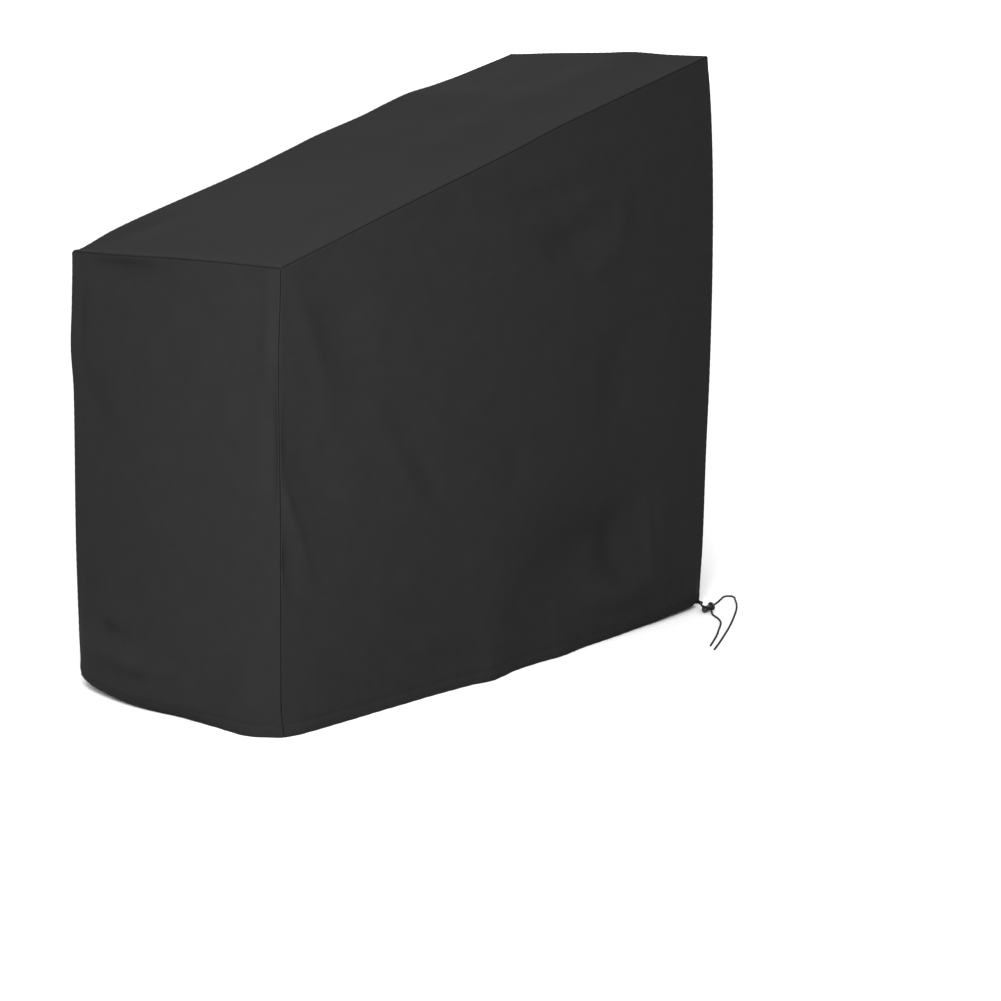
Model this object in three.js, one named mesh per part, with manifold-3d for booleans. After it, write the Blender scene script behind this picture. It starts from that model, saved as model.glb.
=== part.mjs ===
// Exercise bike cover: five cut cloth panels sewn into a hollow hood with a sloping top, open at the
// bottom, with a drawcord in its hem whose two ends leave at one corner through a barrel cord lock.
// Millimetres. +X runs from the low end to the high end, -Y is the near side, +Z is up.
// The origin is under the middle of the top panel, where the thing that it covers holds it up.
import * as THREE from 'three';
import { mergeVertices } from 'three/addons/utils/BufferGeometryUtils.js';
import Module from 'manifold-3d';

const wasm = await Module();
wasm.setup();

// Driving dimensions.
const LENGTH = 1250;
const WIDTH = 550;
const LOW_HEIGHT = 830;
const HIGH_HEIGHT = 1175;
const HANG_HEIGHT = 1011.5;
const CLOTH = 1.5;
const HEM_CLOTH = 3;
const HEM_TALL = 25;
const SEAM_INSET = 0.25;
const CORD = 4;

// Steps of the panels' grids: seams that meet have the same steps, so their edges run side by side.
const STEPS_LENGTH = 30;
const STEPS_WIDTH = 14;
const STEPS_UP = 24;
const UP_SPREAD = 1.6;

const rad = THREE.MathUtils.degToRad;
const lerp = THREE.MathUtils.lerp;
const clamp = THREE.MathUtils.clamp;
const TOP_SLOPE = Math.atan2(HIGH_HEIGHT - LOW_HEIGHT, LENGTH);

// Rows of numbers under named columns.
function table(columns, rows) {
  const names = columns.split(' ');
  return rows.map((row) => Object.fromEntries(row.map((value, i) => [names[i], value])));
}

// A smooth curve through one column of a table, level before its first row and past its last.
function follow(rows, key, column, at) {
  const last = rows.length - 1;
  if (at <= rows[0][key]) return rows[0][column];
  if (at >= rows[last][key]) return rows[last][column];
  const i = rows.findIndex((row) => row[key] > at) - 1;
  const slope = (k) => (k <= 0 || k >= last ? 0
    : (rows[k + 1][column] - rows[k - 1][column]) / (rows[k + 1][key] - rows[k - 1][key]));
  const span = rows[i + 1][key] - rows[i][key];
  const t = (at - rows[i][key]) / span;
  const t2 = t * t;
  const t3 = t2 * t;
  return (2 * t3 - 3 * t2 + 1) * rows[i][column] + (t3 - 2 * t2 + t) * span * slope(i)
    + (3 * t2 - 2 * t3) * rows[i + 1][column] + (t3 - t2) * span * slope(i + 1);
}

// 0 at the edge, 1 from the reach on, smooth between.
function ease(distance, reach) {
  const t = clamp(distance / reach, 0, 1);
  return t * t * (3 - 2 * t);
}

// Corner points of the sewn hood. The drawcord lifts and draws in each of the hem's corners.
const CORNERS = {
  lowNear: { x: -1, y: -1, hem: [5, 13, 0], top: [4, -3, 3] },
  lowFar: { x: -1, y: 1, hem: [-3, 13, 15], top: [3, 0, -2] },
  highNear: { x: 1, y: -1, hem: [-1, 2, 10], top: [-4, 3, 0] },
  highFar: { x: 1, y: 1, hem: [-3, 1, 6], top: [5, -3, 0] },
};
for (const corner of Object.values(CORNERS)) {
  const height = corner.x < 0 ? LOW_HEIGHT : HIGH_HEIGHT;
  const foot = new THREE.Vector3(corner.x * LENGTH / 2, corner.y * WIDTH / 2, 0);
  corner.hemPoint = foot.clone().add(new THREE.Vector3(...corner.hem));
  corner.topPoint = foot.clone().setZ(height).add(new THREE.Vector3(...corner.top));
}

// How far each upright seam swells outwards along X and along Y, by its share of the height.
const SEAM_SWELL = {
  lowNear: table('share alongX alongY', [
    [0, 0, 0], [0.06, 5, -1], [0.2, 8, 2], [0.5, 9, 4], [0.8, 8, 1], [0.93, 2, 0], [1, 0, 0],
  ]),
  lowFar: table('share alongX alongY', [
    [0, 0, 0], [0.1, 1.5, 1.5], [0.32, 3.2, 3.2], [0.68, 2, 2], [0.78, 4.5, 4.5], [0.88, 2, 2], [1, 0, 0],
  ]),
  highNear: table('share alongX alongY', [
    [0, 0, 0], [0.11, 4, 4], [0.28, 7, 7], [0.44, 10.8, 10.8], [0.61, 12.4, 12.4], [0.77, 11, 11],
    [0.88, 7.5, 7.5], [0.95, 3.5, 3.5], [1, 0, 0],
  ]),
  highFar: table('share alongX alongY', [[0, 0, 0], [0.25, 5, 5], [0.55, 9, 9], [0.8, 7, 7], [1, 0, 0]]),
};

// The hem's edge: how far it stands out from the line between its corners, and how far above it it lies.
const HEM_EDGE = {
  near: table('along out lift', [
    [-620, 0, 0], [-590, 8, 0], [-475, 14, -1], [-354, 18, -2], [-227, 23, -3], [-150, 31, -4],
    [-112, 41, -4], [-71, 37, -5], [-20, 27, -5], [48, 27, -5], [119, 31, -6], [205, 22, -6.5],
    [290, 18, -7], [377, 14, -6.5], [472, 11, -5], [577, 4, -2], [624, 0, 0],
  ]),
  low: table('along out lift', [
    [-262, 0, 0], [-251, 9, 0], [-232, 21, -1], [-213, 33, -1], [-186, 37, -2], [-121, 34, -4],
    [-54, 31, -6], [-23, 32, -6.5], [33, 38, -8], [96, 41, -7.5], [177, 32, -5.5], [235, 19, -3],
    [288, 0, 0],
  ]),
  far: table('along out lift', [
    [-628, 0, 0], [-400, 12, -3], [-100, 20, -6], [150, 14, -5], [400, 18, -3], [622, 0, 0],
  ]),
  high: table('along out lift', [[-273, 0, 0], [-150, 14, -3], [0, 20, -5], [140, 15, -3], [276, 0, 0]]),
};

// How far the drawcord turns the hem's edge under the cloth above it.
const HEM_TUCK = {
  near: table('along tuck', [[-620, 1], [150, 3], [260, 10], [420, 19], [560, 17], [624, 3]]),
  low: table('along tuck', [[-262, 2], [-120, 7], [-40, 20], [150, 26], [250, 20], [288, 5]]),
  far: table('along tuck', [[-628, 2], [0, 6], [622, 2]]),
  high: table('along tuck', [[-273, 2], [0, 7], [276, 2]]),
};
const TUCK_TALL = 34;
const TUCK_EASE = 30;

// Each upright panel flares evenly towards its hem. What the hem does beyond that dies out higher up.
const FLARE = { near: 22, low: 34, far: 16, high: 18 };
const RIPPLE_TALL = 320;

// How far each top seam bows above the line between its corners.
const TOP_BOW = {
  near: table('along up', [[-621, 0], [-300, 2.5], [0, 3], [120, 6], [300, 4], [621, 0]]),
  low: table('along up', [[-278, 0], [-120, 2], [0, 2], [150, 0], [275, 0]]),
  far: table('along up', [
    [-622, 0], [-600, -3], [-530, 4], [-440, 6], [-200, 5], [-60, 9], [10, 12], [150, 11], [220, 14],
    [290, 15], [370, 8], [450, 4], [530, 2], [630, 0],
  ]),
  high: table('along up', [[-272, 0], [-170, 2], [-75, 7], [0, 5], [150, 3], [272, 0]]),
};

// Main folds, each a soft ridge (rise over 0) or trough (rise under 0) along a line on its panel.
// On the upright panels a place is along the panel and up from the floor, on the top it is X and Y.
const FOLD_COLUMNS = 'along up toAlong toUp width rise';
const FOLDS = {
  near: table(FOLD_COLUMNS, [
    [-652, 520, -545, 245, 13, 8], [-625, 565, -490, 400, 46, -11], [-650, 400, -580, 235, 20, -8],
    [-590, 800, -505, 610, 22, 5], [-512, 800, -455, 650, 56, -10], [-440, 665, -415, 600, 46, -7],
    [-360, 620, -315, 540, 50, -6], [-425, 565, -240, 325, 30, 6], [-335, 520, -235, 370, 34, -5],
    [-150, 840, 110, 885, 32, 6], [110, 885, 330, 915, 30, 6], [-60, 930, 300, 980, 28, 6],
    [-100, 890, 200, 925, 26, -5], [100, 805, 215, 838, 45, -12], [322, 915, 300, 800, 28, 6],
    [300, 800, 215, 765, 28, 5], [308, 590, 308, 490, 75, -14], [-23, 430, -30, 370, 42, -7],
    [-52, 300, -40, 240, 45, -6], [60, 170, 320, 230, 95, -26], [-80, 150, -40, 330, 85, 9],
    [300, 235, 330, 125, 52, -20], [402, 300, 412, 85, 15, 9], [445, 300, 455, 85, 34, 8],
    [200, 98, 430, 95, 32, 17], [490, 650, 500, 150, 70, 8], [560, 40, 590, 40, 28, 4],
  ]),
  low: table(FOLD_COLUMNS, [
    [250, 88, -60, 86, 19, 12], [250, 130, 90, 120, 20, -11], [218, 575, 205, 500, 42, -10],
    [224, 212, 215, 160, 40, -10], [-252, 850, -248, 590, 15, 5], [-262, 660, -262, 400, 20, -8],
    [250, 800, 0, 806, 18, -13], [60, 500, 50, 300, 110, 6], [246, 800, 246, 600, 13, -5],
  ]),
  far: table(FOLD_COLUMNS, [
    [-330, 740, -100, 400, 50, -9], [120, 880, 380, 620, 55, 8], [-120, 260, 220, 160, 85, -12],
    [-490, 560, -410, 230, 36, 8], [480, 450, 505, 150, 32, 8],
  ]),
  high: table(FOLD_COLUMNS, [
    [-130, 940, 70, 680, 55, -9], [130, 440, 30, 160, 60, -10], [-165, 320, -175, 110, 30, 7],
  ]),
  top: table(FOLD_COLUMNS, [[-530, 215, -470, 225, 45, -5]]),
};
const FOLD_EASE = 18;
const FOLD_FADE = 1.5;
const TOP_EASE = 60;
const FULLNESS = 6;

// The four upright panels: the axis along them, the axis out of them with its sign, and their corners.
const UPRIGHT = {
  near: { along: 'x', out: 'y', sign: -1, corners: ['lowNear', 'highNear'] },
  far: { along: 'x', out: 'y', sign: 1, corners: ['lowFar', 'highFar'] },
  low: { along: 'y', out: 'x', sign: -1, corners: ['lowNear', 'lowFar'] },
  high: { along: 'y', out: 'x', sign: 1, corners: ['highNear', 'highFar'] },
};

// A point on an upright seam, at a share of its height.
function uprightSeam(name, share) {
  const corner = CORNERS[name];
  const point = corner.hemPoint.clone().lerp(corner.topPoint, share);
  point.x += corner.x * follow(SEAM_SWELL[name], 'share', 'alongX', share);
  point.y += corner.y * follow(SEAM_SWELL[name], 'share', 'alongY', share);
  return point;
}

// A point on the top seam of an upright panel.
function topSeam(side, share) {
  const { along, corners } = UPRIGHT[side];
  const point = CORNERS[corners[0]].topPoint.clone().lerp(CORNERS[corners[1]].topPoint, share);
  point.z += follow(TOP_BOW[side], 'along', 'up', point[along]);
  return point;
}

// How far the even flare carries the hem out.
function flare(side, share) {
  return FLARE[side] * Math.sin(Math.PI * share);
}

// A point on the hem of an upright panel, with the even flare alone.
function hemLine(side, share) {
  const { along, out, sign, corners } = UPRIGHT[side];
  const point = CORNERS[corners[0]].hemPoint.clone().lerp(CORNERS[corners[1]].hemPoint, share);
  point.z = Math.max(0, point.z + follow(HEM_EDGE[side], 'along', 'lift', point[along]));
  point[out] += sign * flare(side, share);
  return point;
}

// A Coons patch: the surface that four edge curves span. bottom and top run with u, start and end with v.
function coons(bottom, top, start, end, u, v) {
  const sum = new THREE.Vector3();
  sum.addScaledVector(bottom(u), 1 - v).addScaledVector(top(u), v);
  sum.addScaledVector(start(v), 1 - u).addScaledVector(end(v), u);
  sum.addScaledVector(bottom(0), -(1 - u) * (1 - v)).addScaledVector(bottom(1), -u * (1 - v));
  return sum.addScaledVector(top(0), -(1 - u) * v).addScaledVector(top(1), -u * v);
}

// Sum of a panel's folds at a place on it: each is a bell across its line, and rises and dies out along
// it in half a sine wave, squared, that starts and ends FOLD_FADE widths beyond the line.
function foldRise(folds, along, up) {
  let sum = 0;
  for (const fold of folds) {
    const dx = fold.toAlong - fold.along;
    const dy = fold.toUp - fold.up;
    const length = Math.hypot(dx, dy);
    const run = ((along - fold.along) * dx + (up - fold.up) * dy) / length;
    const away = ((along - fold.along) * dy - (up - fold.up) * dx) / length;
    const fade = FOLD_FADE * fold.width;
    const share = clamp((run + fade) / (length + 2 * fade), 0, 1);
    sum += fold.rise * Math.exp(-((away / fold.width) ** 2)) * Math.sin(Math.PI * share) ** 2;
  }
  return sum;
}

// Outer surface of an upright panel: the patch between its seams and hem, with fullness and folds, and
// with the hem's own line and turned edge at the bottom.
function uprightPoint(side, u, v) {
  const { along, out, sign, corners } = UPRIGHT[side];
  const point = coons((s) => hemLine(side, s), (s) => topSeam(side, s),
    (s) => uprightSeam(corners[0], s), (s) => uprightSeam(corners[1], s), u, v);
  const span = along === 'x' ? LENGTH : WIDTH;
  const tall = topSeam(side, u).z;
  const edge = Math.min(u, 1 - u) * span;
  const free = ease(edge, FOLD_EASE) * ease((1 - v) * tall, FOLD_EASE);
  const fullness = FULLNESS * Math.sin(Math.PI * u) * Math.sin(Math.PI * v);
  const tuck = follow(HEM_TUCK[side], 'along', 'tuck', point[along]) * ease(edge, TUCK_EASE);
  const ripple = follow(HEM_EDGE[side], 'along', 'out', point[along]) - flare(side, u) + tuck;
  const nearHem = Math.max(0, 1 - (v * tall) / RIPPLE_TALL) ** 2;
  const turned = Math.max(0, 1 - (v * tall) / TUCK_TALL) ** 2;
  const relief = free * (foldRise(FOLDS[side], point[along], v * tall) + fullness);
  point[out] += sign * (relief + ripple * nearHem - tuck * turned);
  return point;
}

// Outer surface of the top panel.
function topPoint(u, v) {
  const point = coons((s) => topSeam('near', s), (s) => topSeam('far', s),
    (s) => topSeam('low', s), (s) => topSeam('high', s), u, v);
  const free = ease(Math.min(u, 1 - u) * LENGTH, TOP_EASE) * ease(Math.min(v, 1 - v) * WIDTH, TOP_EASE);
  point.z += free * foldRise(FOLDS.top, point.x, point.y);
  return point;
}

// The way from a seam's outer edge to its inner edge, where panels of one thickness meet in a mitre.
// ends and sides say which end and which side the point is on, 0 for none.
function mitre(thick, ends, sides, atTop) {
  const dx = -ends * thick;
  const dz = atTop ? (Math.sin(TOP_SLOPE) * dx - thick) / Math.cos(TOP_SLOPE) : 0;
  return new THREE.Vector3(dx, -sides * thick, dz);
}

// A closed sheet from a grid of outer points and the grid of inner points behind it.
function sheet(outer, inner, stepsU, stepsV, turned) {
  const wide = stepsV + 1;
  const count = outer.length;
  const at = (i, j) => i * wide + j;
  const faces = [];
  const quad = (a, b, c, d) => {
    if (turned) faces.push(a, c, b, a, d, c);
    else faces.push(a, b, c, a, c, d);
  };
  for (let i = 0; i < stepsU; i++) {
    for (let j = 0; j < stepsV; j++) {
      const ring = [at(i, j), at(i + 1, j), at(i + 1, j + 1), at(i, j + 1)];
      quad(...ring);
      quad(...ring.reverse().map((k) => k + count));
    }
  }
  const rim = (a, b) => quad(b, a, a + count, b + count);
  for (let i = 0; i < stepsU; i++) {
    rim(at(i, 0), at(i + 1, 0));
    rim(at(i + 1, stepsV), at(i, stepsV));
  }
  for (let j = 0; j < stepsV; j++) {
    rim(at(0, j + 1), at(0, j));
    rim(at(stepsU, j), at(stepsU, j + 1));
  }
  const positions = [...outer, ...inner].flatMap((p) => p.toArray());
  const geometry = new THREE.BufferGeometry();
  geometry.setAttribute('position', new THREE.Float32BufferAttribute(positions, 3));
  geometry.setIndex(faces);
  geometry.computeVertexNormals();
  return geometry;
}

// Thickness of an upright panel at a height above its hem: the hem is turned up and sewn double.
function clothThickness(aboveHem) {
  return aboveHem < HEM_TALL ? HEM_CLOTH : CLOTH;
}

// An upright panel as a sheet, its seam edges mitred and a little inside the seam line.
function uprightPanel(side) {
  const { along, out, sign, corners } = UPRIGHT[side];
  const stepsU = along === 'x' ? STEPS_LENGTH : STEPS_WIDTH;
  const outer = [];
  const inner = [];
  for (let i = 0; i <= stepsU; i++) {
    for (let j = 0; j <= STEPS_UP; j++) {
      const u = i / stepsU;
      const v = (j / STEPS_UP) ** UP_SPREAD;
      const point = uprightPoint(side, u, v);
      const thick = clothThickness(v * topSeam(side, u).z);
      const seam = i === 0 ? CORNERS[corners[0]] : i === stepsU ? CORNERS[corners[1]] : null;
      const atTop = j === STEPS_UP;
      const inward = along === 'x' ? mitre(thick, seam ? seam.x : 0, sign, atTop)
        : mitre(thick, sign, seam ? seam.y : 0, atTop);
      const inset = new THREE.Vector3(0, 0, atTop ? -SEAM_INSET : 0);
      if (seam) inset[along] = -seam[along] * SEAM_INSET;
      outer.push(point.clone().add(inset));
      inner.push(point.clone().add(inward).add(inset));
    }
  }
  return sheet(outer, inner, stepsU, STEPS_UP, (out === 'y') === (sign > 0));
}

// The top panel as a sheet.
function topPanel() {
  const outer = [];
  const inner = [];
  for (let i = 0; i <= STEPS_LENGTH; i++) {
    for (let j = 0; j <= STEPS_WIDTH; j++) {
      const point = topPoint(i / STEPS_LENGTH, j / STEPS_WIDTH);
      const ends = i === 0 ? -1 : i === STEPS_LENGTH ? 1 : 0;
      const sides = j === 0 ? -1 : j === STEPS_WIDTH ? 1 : 0;
      const inset = new THREE.Vector3(-ends * Math.cos(TOP_SLOPE), -sides, -ends * Math.sin(TOP_SLOPE));
      inset.multiplyScalar(SEAM_INSET);
      outer.push(point.clone().add(inset));
      inner.push(point.clone().add(mitre(CLOTH, ends, sides, true)).add(inset));
    }
  }
  return sheet(outer, inner, STEPS_LENGTH, STEPS_WIDTH, false);
}

// Barrel cord lock, lying beside the cover with its closed end low and its button end a little higher.
// Along its own axis 0 is near its middle; the button is at the positive end.
const LOCK = {
  place: new THREE.Vector3(593.5, -314.5, 9.3),
  heading: rad(-6),
  tilt: rad(10),
  rimRadius: 9.5,
  barrelRadius: 6.3,
  boreRadius: 4.7,
  stemRadius: 4.2,
  closedEnd: -14,
  boreEnd: -11,
  mouth: 7.2,
  stemEnd: -7.5,
  buttonFace: 10.5,
  buttonEnd: 15.5,
  travel: 3,
  round: 1,
};
const STRAND_APART = 4.5;
const STRAND_MIDDLE = 0.85;
const CROSS_HOLE = { tall: CORD + 1.3, from: -3.9, to: 5.6 };
const ROUND_STEPS = 28;

// A solid for joining and cutting, from a closed three.js geometry.
function solid(geometry) {
  const bare = new THREE.BufferGeometry();
  bare.setAttribute('position', geometry.getAttribute('position'));
  if (geometry.index) bare.setIndex(geometry.index);
  const merged = mergeVertices(bare, 1e-4);
  return new wasm.Manifold(new wasm.Mesh({
    numProp: 3,
    vertProperties: merged.getAttribute('position').array,
    triVerts: new Uint32Array(merged.index.array),
  }));
}

// A three.js geometry from a cut solid.
function shape(manifold) {
  const mesh = manifold.getMesh();
  const geometry = new THREE.BufferGeometry();
  geometry.setAttribute('position', new THREE.BufferAttribute(mesh.vertProperties, 3));
  geometry.setIndex(new THREE.BufferAttribute(mesh.triVerts, 1));
  geometry.computeVertexNormals();
  return geometry;
}

// A turned piece about the lock's axis. profile is pairs of radius and place, from axis to axis.
function turnedPiece(profile) {
  const points = profile.map(([radius, place]) => new THREE.Vector2(radius, place));
  return new THREE.LatheGeometry(points, ROUND_STEPS).rotateZ(-Math.PI / 2);
}

// A slot with round ends, cut right across the lock.
function crossSlot(from, to, tall) {
  const r = tall / 2;
  const outline = new THREE.Shape();
  outline.moveTo(from + r, -r);
  outline.lineTo(to - r, -r);
  outline.absarc(to - r, 0, r, -Math.PI / 2, Math.PI / 2);
  outline.lineTo(from + r, r);
  outline.absarc(from + r, 0, r, Math.PI / 2, 1.5 * Math.PI);
  const depth = 4 * LOCK.rimRadius;
  const cut = new THREE.ExtrudeGeometry(outline, { depth, bevelEnabled: false, curveSegments: 6 });
  return cut.rotateX(Math.PI / 2).translate(0, depth / 2, 0);
}

// The barrel: a cup with a rounded closed end, and a cross hole for the two strands.
function lockBarrel() {
  const { closedEnd, barrelRadius, boreRadius, boreEnd, mouth, round } = LOCK;
  const body = solid(turnedPiece([
    [0, closedEnd], [barrelRadius - 3 * round, closedEnd], [barrelRadius - round, closedEnd + 0.7 * round],
    [barrelRadius, closedEnd + 2.5 * round], [barrelRadius, mouth - round], [barrelRadius - round, mouth],
    [boreRadius, mouth], [boreRadius, boreEnd], [0, boreEnd],
  ]));
  return shape(body.subtract(solid(crossSlot(CROSS_HOLE.from, CROSS_HOLE.to, CROSS_HOLE.tall))));
}

// The plunger: a stem with a long slot, so that it can be pressed in past the strands, and a round button.
function lockPlunger() {
  const { rimRadius, stemRadius, stemEnd, buttonFace, buttonEnd, round, travel } = LOCK;
  const body = solid(turnedPiece([
    [0, stemEnd], [stemRadius - round, stemEnd], [stemRadius, stemEnd + round], [stemRadius, buttonFace],
    [rimRadius - round, buttonFace], [rimRadius, buttonFace + round], [rimRadius, buttonEnd - 2 * round],
    [rimRadius - 2 * round, buttonEnd - round / 2], [rimRadius / 2, buttonEnd], [0, buttonEnd],
  ]));
  return shape(body.subtract(solid(crossSlot(CROSS_HOLE.from, CROSS_HOLE.to + travel, CROSS_HOLE.tall))));
}

// A place by the lock: how far along its axis, how far to its back (the cover's side), and its height
// above the floor.
function byLock(along, back, up) {
  const cos = Math.cos(LOCK.heading);
  const sin = Math.sin(LOCK.heading);
  const level = along * Math.cos(LOCK.tilt);
  return [LOCK.place.x + level * cos - back * sin, LOCK.place.y + level * sin + back * cos, up];
}

// A place inside the lock, at the height of its axis.
function inLock(along, back) {
  return byLock(along, back, LOCK.place.z + along * Math.sin(LOCK.tilt));
}

// Height of a strand's middle where it lies on the floor, and the strands' places along the lock.
const ON_FLOOR = CORD / 2 + 0.05;
const SHORT_AT = STRAND_MIDDLE - STRAND_APART / 2;
const LONG_AT = STRAND_MIDDLE + STRAND_APART / 2;

// The short strand: out of the hem beside the corner, straight through the lock from back to front, then
// over the floor in a loose bend away from the cover.
const SHORT_ROUTE = [
  [609, -275.4, 12.4], [608.6, -280.5, 12.1], [606.3, -287, 11.1], [601.8, -293, 10.2],
  [596.8, -298.4, 9.6], byLock(SHORT_AT + 0.3, 11.5, 9.2),
  inLock(SHORT_AT, 6), inLock(SHORT_AT, 0), inLock(SHORT_AT, -6),
  byLock(SHORT_AT - 0.6, -11, 7.9), [587, -329, 6.5], [583.5, -332.6, 4.5], [580, -336.4, 2.8],
  [576, -341.5, ON_FLOOR], [569, -351.5, ON_FLOOR], [561.8, -362.5, ON_FLOOR], [551, -375.5, ON_FLOOR],
  [538, -388, ON_FLOOR], [516, -402.5, ON_FLOOR], [487, -419, ON_FLOOR], [451, -440, ON_FLOOR],
  [412, -460, ON_FLOOR], [369, -481, ON_FLOOR],
];

// The long strand: out of the hem, over the lock's closed end, back through the lock from front to back,
// behind the button, then over the floor in one wide loop.
const LONG_ROUTE = [
  [617, -274.8, 12.6], [616.5, -279.5, 12.9], [612.5, -286, 13.9], [605, -291.5, 15], [596.5, -296.5, 15.9],
  [588, -301.5, 16.4], byLock(-13.3, 4.5, 16.5), byLock(-15, -2, 16.1), byLock(-15.2, -8.8, 15.1),
  byLock(-12.4, -15.5, 14), byLock(-6.1, -18.2, 12.7), byLock(0.4, -15.6, 11.4), byLock(LONG_AT, -9, 10.1),
  inLock(LONG_AT, -4), inLock(LONG_AT, 4), byLock(LONG_AT + 0.3, 9, 9.5), byLock(LONG_AT + 3.5, 15, 7.8),
  [607, -297.2, 5.2], [614.5, -295, 3], [624, -294.5, ON_FLOOR], [637, -293.8, ON_FLOOR],
  [656, -290, ON_FLOOR], [680, -282, ON_FLOOR], [705, -272.5, ON_FLOOR], [720, -267, ON_FLOOR],
  [732, -268, ON_FLOOR], [737.6, -277, ON_FLOOR], [732.2, -288, ON_FLOOR], [717, -300.5, ON_FLOOR],
  [696, -318, ON_FLOOR], [671, -336.5, ON_FLOOR], [640, -356.5, ON_FLOOR], [600, -379.5, ON_FLOOR],
  [554, -405, ON_FLOOR], [505, -430.5, ON_FLOOR], [457, -454, ON_FLOOR], [404, -479.5, ON_FLOOR],
  [350, -504, ON_FLOOR],
];

// A smooth curve through a route's points that steps from point to point, finer where they are closer.
class Route extends THREE.CatmullRomCurve3 {
  getPointAt(share, target) {
    return this.getPoint(share, target);
  }

  getTangentAt(share, target) {
    return this.getTangent(share, target);
  }
}

// A strand of the drawcord along its route, round in section.
const CORD_SIDES = 8;
function strand(points) {
  const route = new Route(points.map((p) => new THREE.Vector3(...p)));
  const section = new THREE.Shape();
  for (let k = 0; k < CORD_SIDES; k++) {
    const angle = (2 * Math.PI * k) / CORD_SIDES;
    const corner = [Math.cos(angle) * CORD / 2, Math.sin(angle) * CORD / 2];
    if (k) section.lineTo(...corner);
    else section.moveTo(...corner);
  }
  const steps = 2 * (points.length - 1);
  return new THREE.ExtrudeGeometry(section, { steps, extrudePath: route, bevelEnabled: false });
}

const cloth = { color: 0x2b2b2b, roughness: 0.78, metalness: 0 };
const braid = { color: 0x101010, roughness: 0.8, metalness: 0 };
const plastic = { color: 0x161616, roughness: 0.4, metalness: 0 };

function piece(name, geometry, look) {
  const mesh = new THREE.Mesh(geometry, new THREE.MeshStandardMaterial(look));
  mesh.name = name;
  return mesh;
}

// Everything stands on the floor plane of this group, which lies below the origin.
const onFloor = new THREE.Group();
onFloor.position.z = -HANG_HEIGHT;
onFloor.add(piece('panel_top', topPanel(), cloth));
onFloor.add(piece('panel_side_near', uprightPanel('near'), cloth));
onFloor.add(piece('panel_side_far', uprightPanel('far'), cloth));
onFloor.add(piece('panel_end_low', uprightPanel('low'), cloth));
onFloor.add(piece('panel_end_high', uprightPanel('high'), cloth));
onFloor.add(piece('drawcord_short', strand(SHORT_ROUTE), braid));
onFloor.add(piece('drawcord_long', strand(LONG_ROUTE), braid));

const lock = new THREE.Group();
lock.position.copy(LOCK.place);
lock.rotation.set(0, -LOCK.tilt, LOCK.heading, 'ZYX');
lock.add(piece('cord_lock_barrel', lockBarrel(), plastic));
lock.add(piece('cord_lock_plunger', lockPlunger(), plastic));
onFloor.add(lock);

const cover = new THREE.Group();
cover.add(onFloor);

export default cover;
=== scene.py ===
"""Exercise bike cover: a hood sewn from five panels of coated cloth, standing hollow on its hem, with the
two ends of its drawcord lying on the floor and joined by a barrel cord lock.

Sizes and tables are in millimetres and heights are above the floor; place() turns them into metres.
+X runs from the low end to the high end, -Y is the near side, +Z is up.
"""
import math

import bmesh
import bpy
import numpy as np
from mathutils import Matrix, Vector


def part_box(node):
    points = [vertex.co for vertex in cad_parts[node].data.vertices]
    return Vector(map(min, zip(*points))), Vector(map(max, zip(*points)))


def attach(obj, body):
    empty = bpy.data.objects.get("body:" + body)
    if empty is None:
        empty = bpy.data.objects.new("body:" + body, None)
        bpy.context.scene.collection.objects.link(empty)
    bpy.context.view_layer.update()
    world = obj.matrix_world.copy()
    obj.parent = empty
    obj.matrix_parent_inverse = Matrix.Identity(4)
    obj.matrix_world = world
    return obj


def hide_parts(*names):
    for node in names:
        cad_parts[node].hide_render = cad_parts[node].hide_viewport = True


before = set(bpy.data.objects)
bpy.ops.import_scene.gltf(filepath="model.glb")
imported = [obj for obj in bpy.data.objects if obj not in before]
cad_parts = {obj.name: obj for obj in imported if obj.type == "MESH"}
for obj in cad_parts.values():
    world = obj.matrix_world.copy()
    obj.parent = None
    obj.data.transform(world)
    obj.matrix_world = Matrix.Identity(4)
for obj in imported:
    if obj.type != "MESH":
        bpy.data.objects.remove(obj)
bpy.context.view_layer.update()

# Driving dimensions of the hood.
LENGTH = 1250
WIDTH = 550
LOW_HEIGHT = 830
HIGH_HEIGHT = 1175
TOP_SLOPE = math.atan2(HIGH_HEIGHT - LOW_HEIGHT, LENGTH)
MM = 0.001
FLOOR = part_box("panel_side_near")[0].z

# Cloth: its thickness, the hem's channel, and the edges that turn in at the seams.
CLOTH = 0.9
HEM_TALL = 25
HEM_ROLL = 1.8
HEM_DEEP = 4.6
HEM_CLOSED = 2.3
STITCH_UP = 23
SEAM_ROLL = 4.5
SEAM_GAP = 0.3
SEAM_LAP = 0.15
ALLOWANCE = 9
ALLOWANCE_LEAST = SEAM_ROLL + 0.3
ALLOWANCE_TAPER = 0.7
CORD = 4

# Colours.
CLOTH_DARK = "#161616"
CLOTH_LIGHT = "#1d1d1d"
FLOOR_PALE = "#dedede"


def table(*rows):
    """Rows of numbers as an array; the comment above each table names its columns."""
    return np.array(rows, float)


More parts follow.
